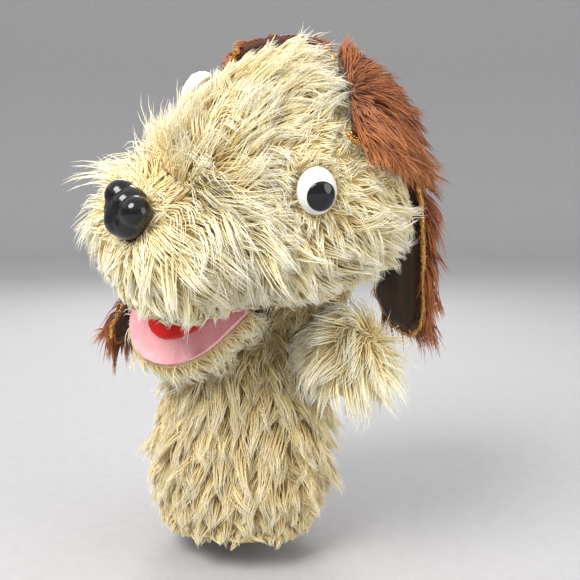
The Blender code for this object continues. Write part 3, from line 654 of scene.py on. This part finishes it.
# %% [markdown]
# ## The nap of each part
# The hair doesn't lie the same way everywhere. On the face it parts from the nose and turns round the eyes.
# On the sleeve it hangs. On a paw it swirls round the end. Each of these is a small rule that takes points
# and gives directions. The pile is pressed short where an ear lies on it, and clipped round the eyes and the
# nose.

# %% Naps
DOWN = np.array([0.0, 0.0, -1.0])
EYE_PLACES = [np.array(place) for place in eyes.values()]
NOSE_PLACE = np.array(nose)


def distance(points, place):
    return np.linalg.norm(points - place, axis=1)


def face_nap(points, normals):
    nap = unit(points - NOSE_PLACE) + 0.40 * DOWN
    for eye in EYE_PLACES:
        away = points - eye
        nap += 2.4 * np.exp(-distance(points, eye)[:, None] / 0.013) * unit(away)
    return nap


def ear_lining_tree(side):
    """A search tree of an ear's lining, to find where the ear presses on the pile."""
    shape = bmesh.new()
    shape.from_mesh(frame["nodes"][f"ear_{side}_lining"].data)
    tree = BVHTree.FromBMesh(shape)
    shape.free()
    return tree


# Each ear's lining, and how far off it the pile is full again
EAR_COVERS = ((ear_lining_tree("left"), 0.017), (ear_lining_tree("right"), 0.0025))


def pressed_by_ears(points, least=0.12):
    """Short pile where an ear lies on it, growing to full length a little way off."""
    share = np.ones(len(points))
    for cover, reach in EAR_COVERS:
        gap = np.array([cover.find_nearest(Vector(point))[3] for point in points])
        share = np.minimum(share, np.clip((gap - 0.0030) / reach, least, 1.0))
    return share


# For the left and right eye: how far the clipped pile reaches, and its least share of length
EYE_CLEARING = ((0.016, 0.30), (0.034, 0.13))


def face_pile(points, normals):
    """Full pile, but clipped round the eyes and nose, and shorter towards the lip and the lower rim."""
    rise = (points - np.array(pivot)) @ np.array(head_up) - 0.033
    ahead = (np.array(skull) - points) @ np.array(head_back)
    share = np.clip(0.10 + rise / 0.048, 0.10, 1.0) * np.clip(0.95 + (ahead - 0.030) / 0.060, 0.92, 1.28)
    for eye, (reach, least) in zip(EYE_PLACES, EYE_CLEARING):
        brow = eye + 0.30 * (np.mean(EYE_PLACES, axis=0) - eye)
        by_eye = np.clip((distance(points, eye) - 0.0060) / reach, least, 1.0)
        by_brow = np.clip((distance(points, brow) - 0.0070) / reach, least, 1.0)
        share *= np.minimum(by_eye, by_brow)
        share *= distance(points, eye) > 0.0078
    share *= np.clip((distance(points, NOSE_PLACE) - 0.0095) / 0.010, 0.20, 1.0)
    to_right = (np.array(skull) - points) @ np.array(head_left)
    off_right_eye = distance(points, EYE_PLACES[1])
    crown = np.clip((rise - 0.070) / 0.020, 0.0, 1.0) * np.clip((off_right_eye - 0.028) / 0.012, 0.0, 1.0)
    flank = np.clip((to_right - 0.004) / 0.012, 0.0, 1.0) * np.clip((ahead - 0.034) / 0.014, 0.0, 1.0)
    brushed = 1.0 + 0.30 * crown + 0.20 * (to_right > 0.030) + 0.35 * flank
    return share * pressed_by_ears(points) * brushed


def hanging_nap(points, normals):
    return np.tile(DOWN, (len(points), 1)) + 0.25 * unit(normals * (1, 1, 0))


def full_pile(points, normals):
    return np.ones(len(points))


def sleeve_pile(points, normals):
    """Full pile above, shorter locks along the hem, and pressed pile where an ear rests on the shoulder."""
    return np.clip((points[:, 2] + 0.010) / 0.046, 0.22, 1.0) * pressed_by_ears(points)


def paw_nap(tip, turn):
    """Hair that swirls away from the end of a paw and falls."""
    tip = np.array(tip)

    def nap(points, normals):
        away = unit(points - tip)
        return away + turn * np.cross(normals, away) + 0.5 * DOWN

    return nap


# %% Fur panels
TWO_COATS = (1.0, 0.78)


def fur_panel(node, line, nap, pile, fibre, sink, longest=0.005, not_facing=None, **sizes):
    """Replaces a solid fur panel by its backing cloth and two coats of hair, on the same body."""
    body = owner[node]
    brown = fibre == brown_fibre
    slot = "brown_fur" if brown else "cream_fur"
    shape = fine_copy(node, longest)
    sink_outside(shape, line, sink)
    cloth = mesh_object(f"{node}_cloth", shape, brown_knit if brown else backing_knit)
    bed = outer_side(cloth, line, not_facing)
    comb(bed, nap, pile)
    for number, share in enumerate(TWO_COATS):
        coat_sizes = {**sizes, "length": sizes["length"] * share, "points": 5 if share > 0.9 else 4}
        grow(f"{node}_pile_{number + 1}", bed, body, slot, fibre, 10 * number + 3, **coat_sizes)
    bpy.data.objects.remove(bed)
    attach(cloth, body)
    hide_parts(node)
    return cloth


SHAGGY = dict(
    hairs=428000.0, locks=27000.0, length=0.026, thickness=0.00056, lift=0.95, bend=0.55,
    weight=0.25, gather=0.86, mess=0.45, wave=0.0012, curl=1.2, points=5,
)

# %% [markdown]
# ## Head
# The head is four panels: a crown strip between two round sides, and the muzzle. They share one nap, so the
# seams disappear under the pile, as they do on a sewn head that has been brushed.

# %% Head fur
skull_line = (skull, skull + Vector((0, 0, 1e-4)))
muzzle_line = (in_head(0, -0.012, 0.050), in_head(0, -0.055, 0.052))
for node in ("head_side_left", "head_side_right", "head_gusset", "muzzle"):
    line = muzzle_line if node == "muzzle" else skull_line
    head_sizes = {"sink": 0.0030, "not_facing": -head_up, **SHAGGY}
    cloth = fur_panel(node, line, face_nap, face_pile, cream_fibre, **head_sizes)

# %% [markdown]
# ## Jaw, paws and sleeve
# The jaw has the same fur underneath, brushed back from its lip. The paws are small stuffed stubs. The sleeve
# is two panels, and its pile is a little shorter and yellower than the head's.

# %% Jaw fur
mouth_floor = sum(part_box("lower_mouth_felt"), Vector()) / 2
jaw_tip = mouth_floor + (mouth_floor - Vector(joints["jaw_open"]["pos_m"]))


def jaw_nap(points, normals):
    return unit(points - np.array(jaw_tip)) + 0.7 * DOWN


jaw_line = (mouth_floor, mouth_floor + Vector((0, 0, 1e-4)))
jaw_sizes = {**SHAGGY, "length": 0.011, "lift": 0.8, "thickness": 0.0005, "sink": 0.0015, "longest": 0.004}
jaw_cloth = fur_panel("jaw_fur", jaw_line, jaw_nap, full_pile, cream_fibre, **jaw_sizes)

# %% Paws
for side, turn, length in (("left", 0.8, 0.026), ("right", -0.8, 0.020)):
    shoulder = Vector(joints[f"arm_{side}_swing"]["pos_m"])
    middle_of_arm = sum(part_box(f"arm_{side}_fur"), Vector()) / 2
    arm_way = (middle_of_arm - shoulder).normalized()
    arm_line = (shoulder, shoulder + arm_way * 0.014)
    nap = paw_nap(shoulder + arm_way * 0.032, turn)
    sizes = {**SHAGGY, "length": length, "lift": 1.2, "hairs": 520000.0, "sink": 0.0022, "longest": 0.004}
    cloth = fur_panel(f"arm_{side}_fur", arm_line, nap, full_pile, cream_fibre, **sizes)

# %% Sleeve and neck
SLEEVE_TOP, SLEEVE_LEAN = 0.088, 0.08
sleeve_line = (Vector((0, 0, 0)), Vector((SLEEVE_TOP * SLEEVE_LEAN, 0, SLEEVE_TOP)))
neck_start = Vector((SLEEVE_TOP * SLEEVE_LEAN, 0, 0.080))
neck_line = (neck_start, pivot, in_head(0, 0.016, 0.016), in_head(0, 0.024, 0.040))
sleeve_sizes = {**SHAGGY, "length": 0.023, "lift": 1.1, "weight": 0.5, "curl": 1.0, "hairs": 400000.0}
for node in ("body_front", "body_back"):
    fur_panel(node, sleeve_line, hanging_nap, sleeve_pile, body_fibre, sink=0.0030, **sleeve_sizes)

# %% [markdown]
# The neck bends in three ways at one point: it turns on the sleeve, tilts, and nods with the head. A fabric piece
# can bend between two bodies only, so the neck is three bands. So the neck is made as three bands: the lower neck
# cloth, and the upper one cut in two at one level.


# %% Neck bands
half_turn = Matrix.Identity(3).to_quaternion().slerp(head_turn.to_quaternion(), 0.5).to_matrix()
neck_split = pivot + half_turn @ Vector((0, 0.007, 0))
neck_way = half_turn @ Vector((0, 0, 1))


def neck_at(rise):
    return neck_split + neck_way * rise


def neck_band(name, node, cut_low=None, cut_high=None):
    """A band of the neck with its coat of hair, cut from one level to another."""
    shape = fine_copy(node, 0.004)
    sink_outside(shape, neck_line, 0.0015)
    for level, keeps_above in ((cut_low, True), (cut_high, False)):
        if level is None:
            continue
        everything = shape.verts[:] + shape.edges[:] + shape.faces[:]
        sides = {"clear_inner": keeps_above, "clear_outer": not keeps_above}
        plane = {"plane_co": neck_at(level), "plane_no": neck_way}
        bmesh.ops.bisect_plane(shape, geom=everything, **sides, **plane)
        bmesh.ops.holes_fill(shape, edges=[edge for edge in shape.edges if edge.is_boundary])
    cloth = mesh_object(f"{name}_cloth", shape, backing_knit)
    bed = outer_side(cloth, neck_line)
    comb(bed, hanging_nap, full_pile)
    coat = grow(f"{name}_pile", bed, None, "cream_fur", body_fibre, 5, **neck_sizes)
    bpy.data.objects.remove(bed)
    for piece in (cloth, coat):
        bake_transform(piece)
    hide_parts(node)


neck_sizes = {**SHAGGY, "length": 0.012, "hairs": 330000.0, "lift": 0.7}
neck_band("neck_turn", "neck_cloth_lower")
neck_band("neck_tilt", "neck_cloth_upper", cut_high=0.0100)
neck_band("neck_nod", "neck_cloth_upper", cut_low=0.0100)

# %% [markdown]
# ## Ears
# An ear is a flap of long brown pile, sewn to the crown by its top edge, with a dark brown velour lining that is
# painted near-black: painted shade for its inner side, which faces the head. It lies over the head's side and
# hangs behind the shoulder. The pile stands off the flap at its top and hangs in straight locks further down.


# %% Ears
def ear_nap_for(side):
    low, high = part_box(f"ear_{side}_fur")
    seam = np.array(joints[f"ear_{side}_lift"]["pos_m"])

    def nap(points, normals):
        way_down = np.clip((high.z - points[:, 2]) / (high.z - low.z), 0, 1)[:, None]
        return unit(points - seam) * (1 - way_down) + DOWN * (0.35 + way_down)

    return nap


def ear_pile(points, normals):
    """Short pile where the ear is sewn to the crown, full pile a finger's width from the seam."""
    share = np.ones(len(points))
    for side, reach in (("left", 0.014), ("right", 0.050)):
        seam = np.array(joints[f"ear_{side}_lift"]["pos_m"])
        share *= np.clip((distance(points, seam) + 0.002) / reach, 0.24, 1.0)
    return share


EAR_SIZES = dict(
    hairs=560000.0, locks=50000.0, length=0.022, thickness=0.00064, lift=0.9, bend=0.40,
    weight=0.35, gather=0.85, mess=0.25, wave=0.0006, curl=0.45, sink=0.0032,
)
axis_line = (skull - 0.12 * UP, skull + 0.01 * UP)
for side in ("left", "right"):
    fur_panel(f"ear_{side}_fur", axis_line, ear_nap_for(side), ear_pile, brown_fibre, **EAR_SIZES)
    lining = mesh_object(f"ear_{side}_velour", fine_copy(f"ear_{side}_lining", 0.004), ear_velour)
    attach(lining, f"ear_{side}")
    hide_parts(f"ear_{side}_lining")

# %% [markdown]
# The flap's edge is overlocked in gold thread: small loops thrown over the edge, close together but never
# quite alike. The cord of the solid model is the thread that the loops hold down. A short tree scatters
# loops over it, each one turned to the cord's surface.

# %% Overlock tree
LOOP_SOCKETS = (
    ("Loops per Area", 800000.0),
    ("Loop Size", 0.0016),
    ("Thread", 0.00030),
    ("Seed", 4),
    ("Finish", None),
)


def overlock_tree():
    tree = new_tree("overlock_loops", LOOP_SOCKETS)
    field = Fields(tree)
    given = add_node(tree, "NodeGroupInput").outputs
    gap = field.product(given["Loop Size"], 0.35)
    scatter = {"Mesh": given["Geometry"], "Distance Min": gap, "Density Max": given["Loops per Area"]}
    scatter["Seed"] = given["Seed"]
    spread = add_node(tree, SCATTER, scatter, distribute_method="POISSON")
    index = field.made("GeometryNodeInputIndex")
    spin = field.random_vector(-0.9, 0.9, index, 21)
    turn = field.made("FunctionNodeEulerToRotation", {0: spin})
    turn_inputs = {0: spread.outputs["Rotation"], 1: turn}
    facing = field.made("FunctionNodeRotateRotation", turn_inputs, rotation_space="LOCAL")
    size = field.product(given["Loop Size"], 0.5)
    loop = field.made("GeometryNodeCurvePrimitiveCircle", {"Resolution": 6, "Radius": size})
    thread = field.product(given["Thread"], 0.5)
    ring = field.made("GeometryNodeCurvePrimitiveCircle", {"Resolution": 3, "Radius": thread})
    loop = field.made("GeometryNodeCurveToMesh", {"Curve": loop, "Profile Curve": ring})
    share = field.random_number(0.7, 1.25, index, 22)
    plant = {"Points": spread.outputs["Points"], "Instance": loop, "Rotation": facing, "Scale": share}
    planted = field.made("GeometryNodeInstanceOnPoints", plant)
    solid = field.made("GeometryNodeRealizeInstances", {0: planted})
    done = field.made("GeometryNodeSetMaterial", {"Geometry": solid, "Material": given["Finish"]})
    add_node(tree, "NodeGroupOutput", {0: done})
    lay_out(tree)
    return tree


# %% Gold edging
def thread_finish(name, light, dark, metal):
    finish, tree, shader = new_finish(name, Metallic=metal, Roughness=0.24)
    twist = {"Vector": object_place(tree, (0.6, 0.3, 0.2)), "Scale": 1400, "Distortion": 1.5}
    wave = add_node(tree, "ShaderNodeTexWave", twist, bands_direction="DIAGONAL").outputs["Fac"]
    tree.links.new(mixed(tree, wave, (*dark, 1), (*light, 1)), shader.inputs["Base Color"])
    bump(tree, shader, wave, 0.0001, 0.6)
    return finish


gold_thread = thread_finish("gold_thread", (1.0, 0.66, 0.26), (0.62, 0.30, 0.07), 1.0)
overlock = overlock_tree()
for side in ("left", "right"):
    cord = frame["nodes"][f"ear_{side}_edging"]
    loops = realised(f"ear_{side}_overlock", cord, overlock, {"Finish": gold_thread, "Seed": 4})
    loops.data.shade_smooth()
    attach(loops, f"ear_{side}")
    print(loops.name, len(loops.data.polygons), "faces")

# %% [markdown]
# ## Mouth
# The mouth is felt: pink for its roof and floor, red for the tongue. The plates of the model have the right
# outlines, so each is copied, its edges are rounded, and the cloth is made to billow a little, because felt
# glued to a board never lies quite flat.


# %% Felt mouth
def felt_piece(node, body, finish, billow):
    shape = fine_copy(node, 0.0022)
    plate = mesh_object(f"{node}_soft", shape, finish)
    rounding = plate.modifiers.new("rounded_edge", "BEVEL")
    rounding.width, rounding.segments, rounding.limit_method = 0.0005, 2, "ANGLE"
    plate.data = evaluated_mesh(plate)
    plate.modifiers.clear()
    for vert in plate.data.vertices:
        swell = math.sin(vert.co.x * 160) * math.cos(vert.co.y * 140 + vert.co.z * 90)
        vert.co += vert.normal * billow * swell
    plate.data.shade_smooth()
    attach(plate, body)
    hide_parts(node)


felt_piece("palate_felt", "head", pink_felt, 0.00015)
felt_piece("lower_mouth_felt", "jaw", pink_felt, 0.0001)
felt_piece("tongue", "jaw", red_felt, 0.0001)

# %% [markdown]
# ## Eyes and nose
# These are hard moulded plastic, so they carry the sharpest highlights on the puppet. An eye is an oval white
# dome with a large black pupil set low and outwards. Both are surfaces with a formula, so their points are
# worked out ring by ring.


# %% Eye frames
def facing(centre, out):
    """A place in the head's axes whose z points out and whose y is as near to up as it can be."""
    in_scene = Matrix.Translation(pivot) @ head_turn.to_4x4()
    return in_scene @ Matrix.Translation(centre) @ upright_turn(out)


def gloss_finish(name, colour, cloud, roughness, coat=0.5):
    """Moulded plastic: an even colour with a trace of cloud, fine scuffs in its gloss, and a clear coat."""
    finish, tree, shader = new_finish(name, Coat_Weight=coat, Coat_Roughness=0.04, IOR=1.42)
    place = object_place(tree)
    tone = ramp(tree, noise(tree, place, 300), ((0.3, cloud), (0.7, colour)))
    tree.links.new(tone, shader.inputs["Base Color"])
    scuff = {0: noise(tree, place, 1800, 5.0), 1: roughness * 0.7, 2: roughness}
    scuffed = add_node(tree, "ShaderNodeMath", scuff, operation="MULTIPLY_ADD").outputs[0]
    tree.links.new(scuffed, shader.inputs["Roughness"])
    return finish


eye_white = gloss_finish("eye_white", (0.80, 0.80, 0.78), (0.74, 0.74, 0.71), 0.10)
eye_black = gloss_finish("eye_black", (0.004, 0.004, 0.005), (0.009, 0.009, 0.011), 0.08, 0.2)
nose_black = gloss_finish("nose_black", (0.004, 0.004, 0.005), (0.009, 0.009, 0.011), 0.10, 0.2)
washer_plastic = gloss_finish("washer_plastic", (0.82, 0.81, 0.76), (0.74, 0.73, 0.68), 0.35)

# %% Eyes
EYE_HALF = Vector((0.0077, 0.0090, 0.0062))
EYE_OUT = Vector((0.80, -0.344, 0.491)).normalized()
EYE_BACK = 0.0552
PUPIL_RADIUS, PUPIL_LIFT = 0.0056, 0.00028


def dome_height(x, y):
    return EYE_HALF.z * math.sqrt(max(0.0, 1 - (x / EYE_HALF.x) ** 2 - (y / EYE_HALF.y) ** 2))


def ring_surface(name, rings, finish, outwards=True):
    """A surface through rings of points, where the first and last may be a single point that closes it."""
    shape = bmesh.new()
    rows = [[shape.verts.new(point) for point in ring] for ring in rings]
    for low, high in zip(rows, rows[1:]):
        for i in range(max(len(low), len(high))):
            j = (i + 1) % max(len(low), len(high))
            corners = [low[i % len(low)], low[j % len(low)], high[j % len(high)], high[i % len(high)]]
            corners = [vert for k, vert in enumerate(corners) if vert not in corners[:k]]
            shape.faces.new(corners)
    bmesh.ops.recalc_face_normals(shape, faces=shape.faces)
    if not outwards:
        bmesh.ops.reverse_faces(shape, faces=shape.faces)
    return mesh_object(name, shape, finish)


def eye_shell(name, finish, count=48, levels=14):
    rings = [[(0, 0, -0.0008)]]
    for height, reach in ((-0.0008, 0.94), (-0.0006, 0.99), (0.0, 1.0)):
        rings.append(ellipse_ring(EYE_HALF.x * reach, EYE_HALF.y * reach, height, count))
    for level in range(1, levels):
        angle = math.pi / 2 * level / levels
        half_x, half_y = EYE_HALF.x * math.cos(angle), EYE_HALF.y * math.cos(angle)
        rings.append(ellipse_ring(half_x, half_y, EYE_HALF.z * math.sin(angle), count))
    rings.append([(0, 0, EYE_HALF.z)])
    return ring_surface(name, rings, finish)


def circle(count):
    turns = [2 * math.pi * i / count for i in range(count)]
    return [(math.cos(t), math.sin(t)) for t in turns]


def ellipse_ring(half_x, half_y, height, count):
    return [(half_x * across, half_y * up, height) for across, up in circle(count)]


def pupil_cap(name, shift, finish, count=40, levels=10):
    """A black cap that follows the dome a quarter of a millimetre above it, and dips into it at its rim."""
    rings = [[(shift.x, shift.y, 0.0005)]]
    for lift in (-0.0005, 0.0001):
        rings.append(pupil_ring(shift, PUPIL_RADIUS, lift, count))
    for level in range(1, levels):
        rings.append(pupil_ring(shift, PUPIL_RADIUS * (1 - level / levels), PUPIL_LIFT, count))
    rings.append([(shift.x, shift.y, dome_height(shift.x, shift.y) + PUPIL_LIFT)])
    return ring_surface(name, rings, finish)


def pupil_ring(shift, radius, lift, count):
    ring = []
    for across, up in circle(count):
        x, y = shift.x + radius * across, shift.y + radius * up
        ring.append((x, y, dome_height(x, y) + lift))
    return ring


for side, sign in (("left", 1), ("right", -1)):
    out = Vector((sign * EYE_OUT.x, EYE_OUT.y, EYE_OUT.z))
    place = facing(SKULL_IN_HEAD + out * EYE_BACK, out)
    shell = eye_shell(f"eye_{side}_shell", eye_white)
    pupil = pupil_cap(f"eye_{side}_pupil", Vector((sign * 0.0006, -0.0018, 0)), eye_black)
    parts = ((shell, f"eye_white_{side}", "white_plastic"), (pupil, f"pupil_{side}", "black_plastic"))
    for piece, node, slot in parts:
        piece.data.transform(place)
        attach(piece, "head")
        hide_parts(node)
    print("eye", side, "at", [round(c * 1000, 1) for c in place.translation], "mm")

# %% [markdown]
# The nose is one glossy moulding: a rounded triangle with a wing at each side, a nostril cut under each wing
# and a raised ridge down the middle. It is blended from balls, welded with a voxel remesh and smoothed,
# which gives the soft creases that a mould has.


# %% Nose
NOSE_PITCH = math.radians(62)
nose_out = Vector((0, -math.sin(NOSE_PITCH), math.cos(NOSE_PITCH)))
nose_place = facing(Vector((0, -0.0668, 0.0735)), nose_out)
NOSE_BALLS = (
    ((0.0, 0.0, -0.0010), (0.0118, 0.0105, 0.0078)),
    ((0.0064, 0.0034, 0.0006), (0.0064, 0.0066, 0.0064)),
    ((-0.0064, 0.0034, 0.0006), (0.0064, 0.0066, 0.0064)),
    ((0.0, -0.0040, 0.0004), (0.0066, 0.0064, 0.0062)),
    ((0.0, 0.0020, 0.0012), (0.0048, 0.0074, 0.0060)),
)
NOSTRILS = (
    ((0.0058, -0.0030, 0.0068), (0.0014, 0.0034, 0.0018)),
    ((-0.0058, -0.0030, 0.0068), (0.0014, 0.0034, 0.0018)),
)


def ball(name, centre, halves, turn=0.0):
    shape = bmesh.new()
    bmesh.ops.create_icosphere(shape, subdivisions=4, radius=1.0)
    matrix = Matrix.Translation(centre) @ Matrix.Rotation(turn, 4, "Z") @ Matrix.Diagonal((*halves, 1))
    bmesh.ops.transform(shape, matrix=matrix, verts=shape.verts)
    return mesh_object(name, shape)


def moulded_nose():
    body = ball("nose_moulding", *NOSE_BALLS[0])
    helpers = [ball("nose_ball", *spec) for spec in NOSE_BALLS[1:]]
    cutters = [ball("nostril", *spec, turn=sign * 0.5) for spec, sign in zip(NOSTRILS, (1, -1))]
    for tools, operation in ((helpers, "UNION"), (cutters, "DIFFERENCE")):
        for tool in tools:
            step = body.modifiers.new(tool.name, "BOOLEAN")
            step.object, step.operation, step.solver = tool, operation, "EXACT"
    weld = body.modifiers.new("weld", "REMESH")
    weld.mode, weld.voxel_size = "VOXEL", 0.00032
    smooth = body.modifiers.new("smooth", "SMOOTH")
    smooth.factor, smooth.iterations = 0.8, 16
    body.data = evaluated_mesh(body)
    body.modifiers.clear()
    for tool in helpers + cutters:
        bpy.data.objects.remove(tool)
    body.data.materials.clear()
    body.data.materials.append(nose_black)
    body.data.transform(nose_place)
    body.data.shade_smooth()
    return body


nose_piece = moulded_nose()
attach(nose_piece, "head")
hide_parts("nose")
print("nose:", len(nose_piece.data.polygons), "faces")

# %% [markdown]
# ## What stays from the solid model
# The pockets, boards, washers and stuffing have the right shape already, so they keep it and only get their
# finish. They show through the sleeve's opening and where the mouth opens.

# %% Finishes on the solids
SOLID_FINISHES = (
    (pocket_cotton, ("hem_facing", "finger_pocket", "thumb_pocket")),
    (mouth_board, ("mouth_board_upper", "mouth_board_lower")),
    (stuffing_fluff, ("head_padding", "jaw_padding", "arm_left_stuffing", "arm_right_stuffing")),
    (washer_plastic, ("eye_washer_left", "eye_washer_right", "nose_washer")),
    (gold_thread, ("ear_left_edging", "ear_right_edging")),
)
for finish, nodes in SOLID_FINISHES:
    for node in nodes:
        mesh = frame["nodes"][node].data
        mesh.materials.clear()
        mesh.materials.append(finish)
print(sum(len(nodes) for finish, nodes in SOLID_FINISHES), "solids keep their shape")

# %% [markdown]
# ## The room
# A pale matt floor that curves up into a wall all round gives a plain background with no edge in it, from
# any side. It is a profile turned about the upright axis, open at its top to let the sky's light in.


# %% Floor
def bowl_floor(level, flat=1.6, bend=0.5, rim=1.0, sides=96, steps=12):
    """A round floor that bends up into a wall: a disc, a quarter circle and a short upright rim."""
    profile = [(flat, 0.0)]
    for i in range(1, steps + 1):
        angle = math.pi / 2 * i / steps
        profile.append((flat + bend * math.sin(angle), bend * (1 - math.cos(angle))))
    profile.append((flat + bend, rim))
    rings = [[(0, 0, level)]]
    for radius, rise in profile:
        rings.append(ellipse_ring(radius, radius, level + rise, sides))
    return ring_surface("floor", rings, floor_paper, outwards=False)


floor_paper = felt_finish("floor_paper", (0.47, 0.47, 0.48), (0.44, 0.44, 0.45), 0.0)
bowl_floor(FLOOR_LEVEL)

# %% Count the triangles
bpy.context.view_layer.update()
shown = [made.data for made in bpy.data.objects if made.type == "MESH" and not made.hide_render]
print(sum(len(mesh.loop_triangles) for mesh in shown), "triangles")
